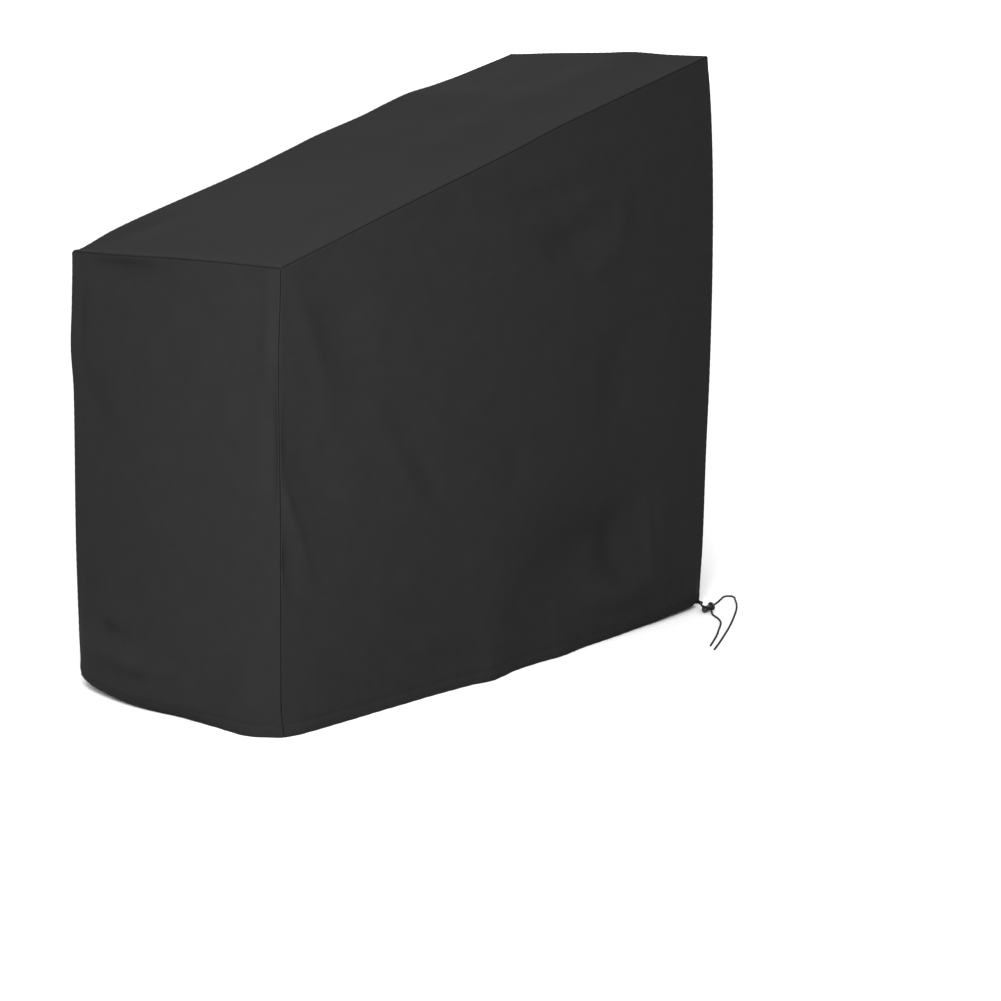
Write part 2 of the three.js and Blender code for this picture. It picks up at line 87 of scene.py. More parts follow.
def follow(rows, at):
    """Values of a table at the places in `at`.

    Between two rows it is a cubic whose slope at a row is that of the line between the row's neighbours.
    It is level at the first and last row and beyond them.
    """
    key, value = rows[:, 0], rows[:, 1:]
    slope = np.zeros_like(value)
    slope[1:-1] = (value[2:] - value[:-2]) / (key[2:] - key[:-2])[:, None]
    at = np.clip(np.asarray(at, float), key[0], key[-1])
    i = np.clip(np.searchsorted(key, at, side="right") - 1, 0, len(key) - 2)
    span = (key[i + 1] - key[i])[..., None]
    t = (at - key[i])[..., None] / span
    found = ((2 * t**3 - 3 * t**2 + 1) * value[i] + (t**3 - 2 * t**2 + t) * span * slope[i]
             + (3 * t**2 - 2 * t**3) * value[i + 1] + (t**3 - t**2) * span * slope[i + 1])
    return found[..., 0] if found.shape[-1] == 1 else found


def ease(distance, reach):
    """0 at the edge, 1 from the reach on, smooth between."""
    t = np.clip(distance / reach, 0, 1)
    return t * t * (3 - 2 * t)


def unit(vectors):
    """Vectors divided by their lengths."""
    return vectors / np.linalg.norm(vectors, axis=-1, keepdims=True)


# The hood's corners: which end and side they are on, and how far the drawcord and the fit move them.
CORNERS = {
    "low_near": dict(x=-1, y=-1, hem=(5, 13, 0), top=(4, -3, 3)),
    "low_far": dict(x=-1, y=1, hem=(-3, 13, 15), top=(3, 0, -2)),
    "high_near": dict(x=1, y=-1, hem=(-1, 2, 10), top=(-4, 3, 0)),
    "high_far": dict(x=1, y=1, hem=(-3, 1, 6), top=(5, -3, 0)),
}
for corner in CORNERS.values():
    foot = np.array([corner["x"] * LENGTH / 2, corner["y"] * WIDTH / 2, 0.0])
    corner["hem_point"] = foot + corner["hem"]
    corner["top_point"] = foot + (0, 0, LOW_HEIGHT if corner["x"] < 0 else HIGH_HEIGHT) + corner["top"]

# How far each upright seam swells outwards. Columns: share of the height, along X, along Y.
SEAM_SWELL = {
    "low_near": table((0, 0, 0), (.06, 5, -1), (.2, 8, 2), (.5, 9, 4), (.8, 8, 1), (.93, 2, 0), (1, 0, 0)),
    "low_far": table((0, 0, 0), (.1, 1.5, 1.5), (.32, 3.2, 3.2), (.68, 2, 2), (.78, 4.5, 4.5),
                     (.88, 2, 2), (1, 0, 0)),
    "high_near": table((0, 0, 0), (.11, 4, 4), (.28, 7, 7), (.44, 10.8, 10.8), (.61, 12.4, 12.4),
                       (.77, 11, 11), (.88, 7.5, 7.5), (.95, 3.5, 3.5), (1, 0, 0)),
    "high_far": table((0, 0, 0), (.25, 5, 5), (.55, 9, 9), (.8, 7, 7), (1, 0, 0)),
}

# The hem's edge beside the straight line between its corners. Columns: along, how far out, how far up.
HEM_EDGE = {
    "near": table((-620, 0, 0), (-590, 8, 0), (-475, 14, -1), (-354, 18, -2), (-227, 23, -3),
                  (-150, 31, -4), (-112, 41, -4), (-71, 37, -5), (-20, 27, -5), (48, 27, -5),
                  (119, 31, -6), (205, 22, -6.5), (290, 18, -7), (377, 14, -6.5), (472, 11, -5),
                  (577, 4, -2), (624, 0, 0)),
    "low": table((-262, 0, 0), (-251, 9, 0), (-232, 21, -1), (-213, 33, -1), (-186, 37, -2),
                 (-121, 34, -4), (-54, 31, -6), (-23, 32, -6.5), (33, 38, -8), (96, 41, -7.5),
                 (177, 32, -5.5), (235, 19, -3), (288, 0, 0)),
    "far": table((-628, 0, 0), (-400, 12, -3), (-100, 20, -6), (150, 14, -5), (400, 18, -3),
                 (622, 0, 0)),
    "high": table((-273, 0, 0), (-150, 14, -3), (0, 20, -5), (140, 15, -3), (276, 0, 0)),
}

# How far the drawcord turns the hem's edge under. Columns: along, how far.
HEM_TUCK = {
    "near": table((-620, 1), (150, 3), (260, 10), (420, 19), (560, 17), (624, 3)),
    "low": table((-262, 2), (-120, 7), (-40, 20), (150, 26), (250, 20), (288, 5)),
    "far": table((-628, 2), (0, 6), (622, 2)),
    "high": table((-273, 2), (0, 7), (276, 2)),
}
TUCK_TALL = 34
TUCK_EASE = 30

# Each upright panel flares evenly towards its hem. What the hem does beyond that dies out higher up.
FLARE = {"near": 22, "low": 34, "far": 16, "high": 18}
RIPPLE_TALL = 320

# How far each top seam bows above the line between its corners. Columns: along, how far up.
TOP_BOW = {
    "near": table((-621, 0), (-300, 2.5), (0, 3), (120, 6), (300, 4), (621, 0)),
    "low": table((-278, 0), (-120, 2), (0, 2), (150, 0), (275, 0)),
    "far": table((-622, 0), (-600, -3), (-530, 4), (-440, 6), (-200, 5), (-60, 9), (10, 12), (150, 11),
                 (220, 14), (290, 15), (370, 8), (450, 4), (530, 2), (630, 0)),
    "high": table((-272, 0), (-170, 2), (-75, 7), (0, 5), (150, 3), (272, 0)),
}

# Main folds, each a soft ridge (rise over 0) or trough (rise under 0) along a line on its panel.
# Columns: from along, from up, to along, to up, width, rise. On the top panel they are X and Y.
FOLDS = {
    "near": table((-652, 520, -545, 245, 13, 8), (-625, 565, -490, 400, 46, -11),
                 (-650, 400, -580, 235, 20, -8), (-590, 800, -505, 610, 22, 5),
                 (-512, 800, -455, 650, 56, -10), (-440, 665, -415, 600, 46, -7),
                 (-360, 620, -315, 540, 50, -6), (-425, 565, -240, 325, 30, 6),
                 (-335, 520, -235, 370, 34, -5), (-150, 840, 110, 885, 32, 6),
                 (110, 885, 330, 915, 30, 6), (-60, 930, 300, 980, 28, 6), (-100, 890, 200, 925, 26, -5),
                 (100, 805, 215, 838, 45, -12), (322, 915, 300, 800, 28, 6), (300, 800, 215, 765, 28, 5),
                 (308, 590, 308, 490, 75, -14), (-23, 430, -30, 370, 42, -7),
                 (-52, 300, -40, 240, 45, -6), (60, 170, 320, 230, 95, -26), (-80, 150, -40, 330, 85, 9),
                 (300, 235, 330, 125, 52, -20), (402, 300, 412, 85, 15, 9), (445, 300, 455, 85, 34, 8),
                 (200, 98, 430, 95, 32, 17), (490, 650, 500, 150, 70, 8), (560, 40, 590, 40, 28, 4)),
    "low": table((250, 88, -60, 86, 19, 12), (250, 130, 90, 120, 20, -11), (218, 575, 205, 500, 42, -10),
                (224, 212, 215, 160, 40, -10), (-252, 850, -248, 590, 15, 5),
                (-262, 660, -262, 400, 20, -8), (250, 800, 0, 806, 18, -13), (60, 500, 50, 300, 110, 6),
                (246, 800, 246, 600, 13, -5)),
    "far": table((-330, 740, -100, 400, 50, -9), (120, 880, 380, 620, 55, 8),
                (-120, 260, 220, 160, 85, -12), (-490, 560, -410, 230, 36, 8),
                (480, 450, 505, 150, 32, 8)),
    "high": table((-130, 940, 70, 680, 55, -9), (130, 440, 30, 160, 60, -10),
                 (-165, 320, -175, 110, 30, 7)),
    "top": table((-530, 215, -470, 225, 45, -5),),
}
FOLD_EASE = 18
FOLD_FADE = 1.5
TOP_EASE = 60
FULLNESS = 6

# The upright panels: the axis along them, the axis out of them with its sign, and their two corners.
UPRIGHT = {
    "near": dict(along=0, out=1, sign=-1, corners=("low_near", "high_near"), span=LENGTH),
    "far": dict(along=0, out=1, sign=1, corners=("low_far", "high_far"), span=LENGTH),
    "low": dict(along=1, out=0, sign=-1, corners=("low_near", "low_far"), span=WIDTH),
    "high": dict(along=1, out=0, sign=1, corners=("high_near", "high_far"), span=WIDTH),
}


def between(start, end, share):
    """Points on the straight line between two points."""
    return start + (end - start) * np.asarray(share, float)[..., None]


def upright_seam(name, share):
    """Points on an upright seam: the line from its hem to its top, swollen outwards along X and Y."""
    corner = CORNERS[name]
    points = between(corner["hem_point"], corner["top_point"], share)
    points[..., :2] += follow(SEAM_SWELL[name], share) * (corner["x"], corner["y"])
    return points


def top_seam(side, share):
    """Points on a top seam: the line between its corners, bowed upwards."""
    panel = UPRIGHT[side]
    start, end = (CORNERS[name]["top_point"] for name in panel["corners"])
    points = between(start, end, share)
    points[..., 2] += follow(TOP_BOW[side], points[..., panel["along"]])
    return points


def flare(side, share):
    """How far the even flare carries the hem out: half a sine wave along it."""
    return FLARE[side] * np.sin(np.pi * share)


def hem_line(side, share):
    """Points on the hem with the even flare alone, no lower than the floor."""
    panel = UPRIGHT[side]
    start, end = (CORNERS[name]["hem_point"] for name in panel["corners"])
    points = between(start, end, share)
    lift = follow(HEM_EDGE[side], points[..., panel["along"]])[..., 1]
    points[..., 2] = np.maximum(0, points[..., 2] + lift)
    points[..., panel["out"]] += panel["sign"] * flare(side, share)
    return points


def coons(bottom, top, start, end, u, v):
    """A Coons patch: both pairs of edge curves blended across, less the corners blended both ways."""
    zero, one = np.zeros(1), np.ones(1)
    a, b = u[..., None], v[..., None]
    edges = bottom(u) * (1 - b) + top(u) * b + start(v) * (1 - a) + end(v) * a
    return (edges - bottom(zero) * (1 - a) * (1 - b) - bottom(one) * a * (1 - b)
            - top(zero) * (1 - a) * b - top(one) * a * b)


def fold_rise(folds, along, up):
    """Sum of a panel's folds: each is its rise times a bell curve across its line, times half a sine wave,
    squared, along it that starts and ends FOLD_FADE widths beyond the line."""
    rise = np.zeros_like(along)
    for from_along, from_up, to_along, to_up, width, height in folds:
        dx, dy = to_along - from_along, to_up - from_up
        length = math.hypot(dx, dy)
        run = ((along - from_along) * dx + (up - from_up) * dy) / length
        away = ((along - from_along) * dy - (up - from_up) * dx) / length
        share = np.clip((run + FOLD_FADE * width) / (length + 2 * FOLD_FADE * width), 0, 1)
        rise += height * np.exp(-((away / width) ** 2)) * np.sin(np.pi * share) ** 2
    return rise


def upright_surface(side, u, v):
    """The outer surface of an upright panel: a Coons patch between its hem and seams, moved outwards or
    inwards by its fullness, folds, hem line, turned hem edge and finer relief."""
    panel = UPRIGHT[side]
    first, last = panel["corners"]
    points = coons(lambda s: hem_line(side, s), lambda s: top_seam(side, s),
                   lambda s: upright_seam(first, s), lambda s: upright_seam(last, s), u, v)
    along = points[..., panel["along"]]
    tall = top_seam(side, u)[..., 2]
    edge = np.minimum(u, 1 - u) * panel["span"]
    up = v * tall
    free = ease(edge, FOLD_EASE) * ease(tall - up, FOLD_EASE)
    fullness = FULLNESS * np.sin(np.pi * u) * np.sin(np.pi * v)
    tuck = follow(HEM_TUCK[side], along) * ease(edge, TUCK_EASE)
    ripple = follow(HEM_EDGE[side], along)[..., 0] - flare(side, u) + tuck
    near_hem = np.clip(1 - up / RIPPLE_TALL, 0, 1) ** 2
    turned = np.clip(1 - up / TUCK_TALL, 0, 1) ** 2
    relief = free * (fold_rise(FOLDS[side], along, up) + fullness)
    relief += fine_relief(side, along, up, edge, tall - up)
    points[..., panel["out"]] += panel["sign"] * (relief + ripple * near_hem - tuck * turned)
    return points


def top_surface(u, v):
    """The outer surface of the top panel: a Coons patch between its seams, with its folds and relief."""
    points = coons(lambda s: top_seam("near", s), lambda s: top_seam("far", s),
                   lambda s: top_seam("low", s), lambda s: top_seam("high", s), u, v)
    ends = np.minimum(u, 1 - u) * LENGTH
    sides = np.minimum(v, 1 - v) * WIDTH
    free = ease(ends, TOP_EASE) * ease(sides, TOP_EASE)
    x, y = points[..., 0], points[..., 1]
    relief = free * (fold_rise(FOLDS["top"], x, y) + TOP_SLACK * slack("top", x, y))
    points[..., 2] += relief + puckers("top", x, sides) + puckers("top", y, ends)
    return points


# Relief finer than the main folds, from seeded waves, so that each panel keeps its own.
SEEDS = {"near": 11, "far": 12, "low": 13, "high": 14, "top": 15}
SLACK_WAVES = 14
SLACK_HEIGHT = 0.2
SLACK_LENGTHS = (90, 300)
SLACK_EASE = 3 * FOLD_EASE
TOP_SLACK = 0.4
PUCKER_PITCH = 15
PUCKER_HEIGHT = 0.3
PUCKER_REACH = 16
GATHER_PITCH = 34
GATHER_HEIGHT = 0.45
GATHER_TALL = 80
CHANNEL_BULGE = 1.1
STITCH_DENT = 0.7
STITCH_WIDE = 2.2

# How the pitch of puckers and gathers wanders. Columns: how far, over how many pitches.
WANDER = table((2.2, 3.1), (1.4, 1.7))


def slack(side, along, up):
    """Soft unevenness of slack cloth: sine waves of seeded length and direction, added up."""
    rng = np.random.default_rng(SEEDS[side])
    rise = np.zeros_like(along)
    for _ in range(SLACK_WAVES):
        turn, phase = rng.uniform(0, 2 * np.pi, 2)
        length = rng.uniform(*SLACK_LENGTHS)
        rise += np.sin(2 * np.pi * (along * np.cos(turn) + up * np.sin(turn)) / length + phase)
    return SLACK_HEIGHT * rise


def uneven_wave(side, along, pitch):
    """A wave along a seam whose pitch wanders: a sine of the place plus slow seeded sines of it."""
    *shifts, start = np.random.default_rng(SEEDS[side] + int(pitch)).uniform(0, 2 * np.pi, 3)
    wander = sum(far * np.sin(along / (pitches * pitch) + shift)
                 for (far, pitches), shift in zip(WANDER, shifts))
    return np.sin(2 * np.pi * along / pitch + wander + start)


def puckers(side, along, away):
    """Small puckers square to a seam: none on the seam, full beside its roll, dying out further away."""
    fade = ease(away, SEAM_ROLL) * np.exp(-((away / PUCKER_REACH) ** 2))
    return PUCKER_HEIGHT * uneven_wave(side, along, PUCKER_PITCH) * fade


def fine_relief(side, along, up, to_seam, to_top):
    """Slack cloth, puckers at the seams, and the hem's gathers, channel and stitched groove."""
    rise = slack(side, along, up) * ease(to_seam, SLACK_EASE) * ease(to_top, SLACK_EASE)
    rise += puckers(side, up, to_seam) + puckers(side, along, to_top)
    gathers = GATHER_HEIGHT * uneven_wave(side, along, GATHER_PITCH) * np.exp(-((up / GATHER_TALL) ** 2))
    channel = CHANNEL_BULGE * np.sin(np.pi * np.clip(up / HEM_TALL, 0, 1)) ** 2
    groove = STITCH_DENT * np.exp(-(((up - STITCH_UP) / STITCH_WIDE) ** 2))
    return rise + (gathers + channel - groove) * ease(to_seam, FOLD_EASE)


# Building the panels' meshes.
GRID_STEP = 7
SEAM_STEPS = (0, SEAM_ROLL, 6, 10, 16, 23)
HEM_STEPS = (0, HEM_ROLL, 5, 9, 13, 17, 20.5, 22, 23, 24, 26, 30, 36, 44)
ROLL_STEPS = 6
ALLOWANCE_STEPS = 3
CHANNEL_STEPS = (22, 16, 10, 5)

# Lines that a turned edge adds to a grid, less the seam's own line, which it takes the place of.
TURNED_LINES = ROLL_STEPS + ALLOWANCE_STEPS - 1

# How far above the hem's edge the upright seams' allowances start to widen.
HEM_CLEAR = HEM_TALL + 10


def steps_between(length, first, last):
    """Distances along a panel: fine steps at the start, even steps between, fine steps at the end."""
    first, last = np.array(first, float), length - np.array(last, float)[::-1]
    count = max(2, round((last[0] - first[-1]) / GRID_STEP))
    return np.concatenate([first, np.linspace(first[-1], last[0], count + 1)[1:-1], last])


def turned_edge(edge, beside, inward, allowance):
    """Lines of a seam edge that rolls over and runs on inside the hood, from its raw edge to the panel.

    edge is the seam, beside the panel's line next to it. In their plane an arc leaves the panel at that
    line, level with it, and turns until it points inward. The allowance then runs on straight and leans
    towards its neighbour, whose raw edge it laps by a hair, so that no light passes through the seam.
    """
    into = unit(beside - edge)
    edge = edge + into * SEAM_GAP
    reach = np.linalg.norm(beside - edge, axis=-1, keepdims=True)
    angle = np.arccos(np.clip((into * inward).sum(-1, keepdims=True), -1, 1))
    out = unit(into * np.cos(angle) - inward)
    radius = reach * np.tan(angle / 2)
    sweep = np.linspace(0, 1, ROLL_STEPS + 1)[1:, None, None] * (np.pi - angle)
    arc = beside - out * radius + radius * (out * np.cos(sweep) - into * np.sin(sweep))
    run = np.linspace(0, 1, ALLOWANCE_STEPS + 1)[1:, None, None]
    straight = edge + inward * (reach + (allowance - reach) * run) - into * (SEAM_GAP + SEAM_LAP) * run
    return np.concatenate([arc, straight])[::-1]


def into_seam(ends, sides, at_top):
    """The way from a seam into the hood, halfway between the two panels that it joins."""
    dx = -ends
    dz = (math.sin(TOP_SLOPE) * dx - 1) / math.cos(TOP_SLOPE) if at_top else 0
    return unit(np.array([dx, -sides, dz], float))


def turn_in_rows(points, inward, to_corner, last):
    """A grid with the edge before its first row, or after its last, turned in as a seam allowance."""
    grid = points[:, ::-1] if last else points
    lines = grid.transpose(1, 0, 2)
    allowance = np.clip(ALLOWANCE_TAPER * to_corner, ALLOWANCE_LEAST, ALLOWANCE)[:, None]
    turned = turned_edge(lines[0], lines[1], inward, allowance).transpose(1, 0, 2)
    grid = np.concatenate([turned, grid[:, 1:]], axis=1)
    return grid[:, ::-1] if last else grid


def turned_hem(side, outer, u, tall):
    """The hem's rows inside the channel: half a turn round the bottom edge, then up to the stitching.

    Each row of the inner layer is the outer surface at that height, moved inwards by the channel's depth
    there, with its ends drawn in by as much, so that it meets its neighbour at the corner.
    """
    panel = UPRIGHT[side]
    inwards = np.zeros(3)
    inwards[panel["out"]] = -panel["sign"]
    up = unit(outer[:, 1] - outer[:, 0])
    sweep = np.linspace(0, np.pi, ROLL_STEPS + 1)[1:, None, None]
    centre = outer[:, 0] + up * HEM_ROLL + inwards * HEM_ROLL
    half_turn = centre - HEM_ROLL * (inwards * np.cos(sweep) + up * np.sin(sweep))
    rows = [half_turn[::-1]]
    for height in reversed(CHANNEL_STEPS):
        deep = HEM_CLOSED + (HEM_DEEP - HEM_CLOSED) * math.cos(math.pi / 2 * height / HEM_TALL)
        drawn = (0.5 - u) * 2 * deep / panel["span"]
        rows.insert(0, (upright_surface(side, u + drawn, height / tall) + inwards * deep)[None])
    return np.concatenate(rows).transpose(1, 0, 2)


def place(points):
    """Millimetres above the floor to Blender's metres in the part's frame."""
    return points * MM + (0, 0, FLOOR)


def build_mesh(name, points, faces, uv, material, body="cover"):
    """A piece from points in the part's frame, a list of faces and one UV place per point, in metres."""
    mesh = bpy.data.meshes.new(name)
    mesh.from_pydata(points.tolist(), [], faces)
    corners = np.empty(len(mesh.loops), np.int32)
    mesh.loops.foreach_get("vertex_index", corners)
    layer = mesh.uv_layers.new(name="real_size")
    layer.data.foreach_set("uv", uv[corners].astype(np.float32).ravel())
    mesh.polygons.foreach_set("use_smooth", np.ones(len(mesh.polygons), bool))
    mesh.materials.append(material)
    mesh.update()
    piece = bpy.data.objects.new(name, mesh)
    bpy.context.scene.collection.objects.link(piece)
    if body:
        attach(piece, body)
    return piece


def grid_faces(columns, rows, flip=False, ring=False):
    """Faces of a grid numbered along its rows; a ring closes the last column onto the first."""
    i, j = np.indices((columns if ring else columns - 1, rows - 1)).reshape(2, -1)
    after = (i + 1) % columns
    faces = np.stack([i * rows + j, after * rows + j, after * rows + j + 1, i * rows + j + 1], axis=1)
    return faces[:, ::-1] if flip else faces


def cloth_piece(name, points, uv, flip, material):
    """A panel from a grid of outer points, given the cloth's thickness inwards."""
    columns, rows = points.shape[:2]
    faces = grid_faces(columns, rows, flip).tolist()
    piece = build_mesh(name, place(points.reshape(-1, 3)), faces, uv.reshape(-1, 2), material)
    thick = piece.modifiers.new("cloth_thickness", "SOLIDIFY")
    thick.thickness = CLOTH * MM
    thick.offset = -1
    return piece


def flat_uv(points):
    """UV places in metres, as the cloth lies flat: lengths along the grid's middle row and its columns."""
    along = np.linalg.norm(np.diff(points[:, points.shape[1] // 2], axis=0), axis=-1)
    up = np.linalg.norm(np.diff(points, axis=1), axis=-1)
    along = np.concatenate([[0], np.cumsum(along)])
    up = np.concatenate([np.zeros((len(points), 1)), np.cumsum(up, axis=1)], axis=1)
    return np.stack([np.broadcast_to(along[:, None], up.shape), up], axis=-1) * MM


def upright_panel(side, name, material):
    """An upright panel: its outer surface, three edges turned in at the seams, and its hem turned up."""
    panel = UPRIGHT[side]
    first, last = (CORNERS[corner] for corner in panel["corners"])
    u = steps_between(panel["span"], SEAM_STEPS, SEAM_STEPS) / panel["span"]
    tall = top_seam(side, u)[:, 2]
    middle = steps_between(float(tall.mean()), HEM_STEPS, SEAM_STEPS)
    hem_count, seam_count = len(HEM_STEPS), len(SEAM_STEPS)
    share = (middle - middle[hem_count - 1]) / (middle[-seam_count] - middle[hem_count - 1])
    bottom, top = HEM_STEPS[-1], tall[:, None] - SEAM_STEPS[-1]
    heights = bottom + (top - bottom) * np.clip(share, 0, 1)
    heights[:, :hem_count] = HEM_STEPS
    heights[:, -seam_count:] = tall[:, None] - np.array(SEAM_STEPS)[::-1]
    grid_u = np.broadcast_to(u[:, None], heights.shape)
    outer = upright_surface(side, grid_u, heights / tall[:, None])
    hem = turned_hem(side, outer, u, tall)
    grid = np.concatenate([hem, outer[:, 1:]], axis=1)
    ends, sides = (0, panel["sign"]) if panel["along"] == 0 else (panel["sign"], 0)
    to_corner = np.minimum(u, 1 - u) * panel["span"]
    grid = turn_in_rows(grid, into_seam(ends, sides, True), to_corner, True)
    to_hem = np.zeros(grid.shape[1])
    to_hem[hem.shape[1]:][:heights.shape[1] - 2] = heights[0, 1:-1]
    to_end = np.clip(np.minimum(to_hem - HEM_CLEAR, tall.min() - to_hem), 0, None)
    grid = grid.transpose(1, 0, 2)
    for corner, at_last in ((first, False), (last, True)):
        grid = turn_in_rows(grid, into_seam(corner["x"], corner["y"], False), to_end, at_last)
    grid = grid.transpose(1, 0, 2)
    for turned in (grid[:TURNED_LINES], grid[-TURNED_LINES:]):
        turned[..., 2] = np.maximum(turned[..., 2], CLOTH)
    flip = (panel["out"] == 1) == (panel["sign"] > 0)
    return cloth_piece(name, grid, flat_uv(grid), flip, material)


def top_panel(name, material):
    """The top panel: its outer surface with all four edges turned in at the seams."""
    u = steps_between(LENGTH, SEAM_STEPS, SEAM_STEPS) / LENGTH
    v = steps_between(WIDTH, SEAM_STEPS, SEAM_STEPS) / WIDTH
    grid = top_surface(*np.meshgrid(u, v, indexing="ij"))
    to_end = np.minimum(u, 1 - u) * LENGTH
    grid = turn_in_rows(grid, into_seam(0, -1, True), to_end, False)
    grid = turn_in_rows(grid, into_seam(0, 1, True), to_end, True)
    to_side = np.pad(np.minimum(v, 1 - v) * WIDTH, TURNED_LINES)
    grid = grid.transpose(1, 0, 2)
    grid = turn_in_rows(grid, into_seam(-1, 0, True), to_side, False)
    grid = turn_in_rows(grid, into_seam(1, 0, True), to_side, True)
    grid = grid.transpose(1, 0, 2)
    return cloth_piece(name, grid, flat_uv(grid), False, material)


# Stitching: a row of lock stitches round the hem, and stitches round each hole that a strand leaves by.
STITCH_LONG = 3.3
STITCH_PITCH = 4.2
THREAD = 0.45
THREAD_END = 0.35
STITCH_ARCH = 1.1
STITCH_SUNK = 0.7
STITCH_SIDES = 6
STITCH_RINGS = 5
HOLE_STITCHES = 26
HOLE_RADIUS = CORD / 2 + 0.2
HOLE_RIM = 1.2


def stitches(name, paths, out, material):
    """A spindle of thread along each path, which arches out of the cloth and dips into it at both ends.

    Its thickness and its height above the cloth both follow half a sine wave.
    """
    arch = np.sin(np.pi * np.linspace(0, 1, STITCH_RINGS))[:, None]
    across = unit(np.cross(out, np.gradient(paths, axis=1)))
    middle = paths + out * THREAD * (STITCH_ARCH * arch - STITCH_SUNK)
    angle = np.arange(STITCH_SIDES)[:, None] * 2 * np.pi / STITCH_SIDES
    thick = THREAD * (THREAD_END + (1 - THREAD_END) * arch)[..., None]
    round_way = across[:, :, None] * np.cos(angle) + out[:, :, None] * np.sin(angle)
    return tube_piece(name, middle[:, :, None] + thick * round_way, material)


def hem_stitches(side, name, material):
    """The row of stitches along the hem of a panel, which lies in the stitched groove."""
    panel = UPRIGHT[side]
    count = int((panel["span"] - 2 * FOLD_EASE) / STITCH_PITCH)
    start = (FOLD_EASE + STITCH_PITCH * np.arange(count)) / panel["span"]
    u = start[:, None] + np.linspace(0, 1, STITCH_RINGS) * STITCH_LONG / panel["span"]
    tall = top_seam(side, u)[..., 2]
    paths = upright_surface(side, u, STITCH_UP / tall)
    up = upright_surface(side, u, (STITCH_UP + 1) / tall) - paths
    turn = panel["sign"] if panel["out"] == 0 else -panel["sign"]
    return stitches(name, paths, turn * unit(np.cross(np.gradient(paths, axis=1), up)), material)


def hole_stitches(name, route, material):
    """Stitches that stand side by side round the hole in the hem that a strand leaves by."""
    centre, ahead = np.array(route[0]), unit(np.array(route[1]) - route[0])
    across = unit(np.cross(ahead, (0, 0, 1)))
    angle = np.arange(HOLE_STITCHES)[:, None, None] * 2 * np.pi / HOLE_STITCHES
    outward = across * np.cos(angle) + np.cross(across, ahead) * np.sin(angle)
    reach = HOLE_RADIUS + HOLE_RIM * np.linspace(0, 1, STITCH_RINGS)[:, None]
    paths = centre + outward * reach
    return stitches(name, paths, np.broadcast_to(ahead, paths.shape), material)


def tube_piece(name, rings, material, uv=None):
    """A mesh of closed tubes. rings is tubes, rings along a tube, points round a ring, 3."""
    tubes, along, sides = rings.shape[:3]
    walls = grid_faces(sides, along, ring=True)
    walls = (walls % along) * sides + walls // along
    first = np.arange(tubes) * along * sides
    faces = (first[:, None, None] + walls).reshape(-1, 4).tolist()
    start = np.arange(sides)
    for cap in (start, (along - 1) * sides + start[::-1]):
        faces += (first[:, None] + cap).tolist()
    points = place(rings.reshape(-1, 3))
    return build_mesh(name, points, faces, np.zeros((len(points), 2)) if uv is None else uv, material)


# Barrel cord lock: its place, its heading, how far its button end is tipped up, and the strands' places.
LOCK_PLACE = np.array([593.5, -314.5, 9.3])
LOCK_HEADING = math.radians(-6)
LOCK_TILT = math.radians(10)
STRAND_APART = 4.5
STRAND_MIDDLE = 0.85
SHARP_ANGLE = math.radians(35)
EDGE_RADIUS = 0.25
MERGE = 0.01
SHORT_AT = STRAND_MIDDLE - STRAND_APART / 2
LONG_AT = STRAND_MIDDLE + STRAND_APART / 2


def by_lock(along, back, up):
    """A place by the lock: how far along its axis, how far to its back, and its height above the floor."""
    cos, sin = math.cos(LOCK_HEADING), math.sin(LOCK_HEADING)
    level = along * math.cos(LOCK_TILT)
    return (LOCK_PLACE[0] + level * cos - back * sin, LOCK_PLACE[1] + level * sin + back * cos, up)


def in_lock(along, back):
    """A place inside the lock, level with its axis."""
    return by_lock(along, back, LOCK_PLACE[2] + along * math.sin(LOCK_TILT))


def moulded_piece(name, node, body, material):
    """A cord lock piece from its solid: its corners merged, its edges rounded, and shaded smooth."""
    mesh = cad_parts[node].data.copy()
    mesh.materials.clear()
    mesh.materials.append(material)
    merged = bmesh.new()
    merged.from_mesh(mesh)
    bmesh.ops.remove_doubles(merged, verts=merged.verts, dist=MERGE * MM)
    merged.to_mesh(mesh)
    merged.free()
    mesh.polygons.foreach_set("use_smooth", np.ones(len(mesh.polygons), bool))
    mesh.set_sharp_from_angle(angle=SHARP_ANGLE)
    piece = bpy.data.objects.new(name, mesh)
    bpy.context.scene.collection.objects.link(piece)
    edges = piece.modifiers.new("rounded_edges", "BEVEL")
    edges.width = EDGE_RADIUS * MM
    edges.segments = 2
    edges.angle_limit = SHARP_ANGLE
    edges.harden_normals = True
    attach(piece, body)
    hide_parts(node)


# Routes of the two strands, from the hem to their free ends.
ON_FLOOR = CORD / 2 + 0.05
SHORT_ROUTE = [
    (609, -275.4, 12.4), (608.6, -280.5, 12.1), (606.3, -287, 11.1), (601.8, -293, 10.2),
    (596.8, -298.4, 9.6), by_lock(SHORT_AT + 0.3, 11.5, 9.2),
    in_lock(SHORT_AT, 6), in_lock(SHORT_AT, 0), in_lock(SHORT_AT, -6),
    by_lock(SHORT_AT - 0.6, -11, 7.9), (587, -329, 6.5), (583.5, -332.6, 4.5), (580, -336.4, 2.8),
    (576, -341.5, ON_FLOOR), (569, -351.5, ON_FLOOR), (561.8, -362.5, ON_FLOOR), (551, -375.5, ON_FLOOR),
    (538, -388, ON_FLOOR), (516, -402.5, ON_FLOOR), (487, -419, ON_FLOOR), (451, -440, ON_FLOOR),
    (412, -460, ON_FLOOR), (369, -481, ON_FLOOR),
]
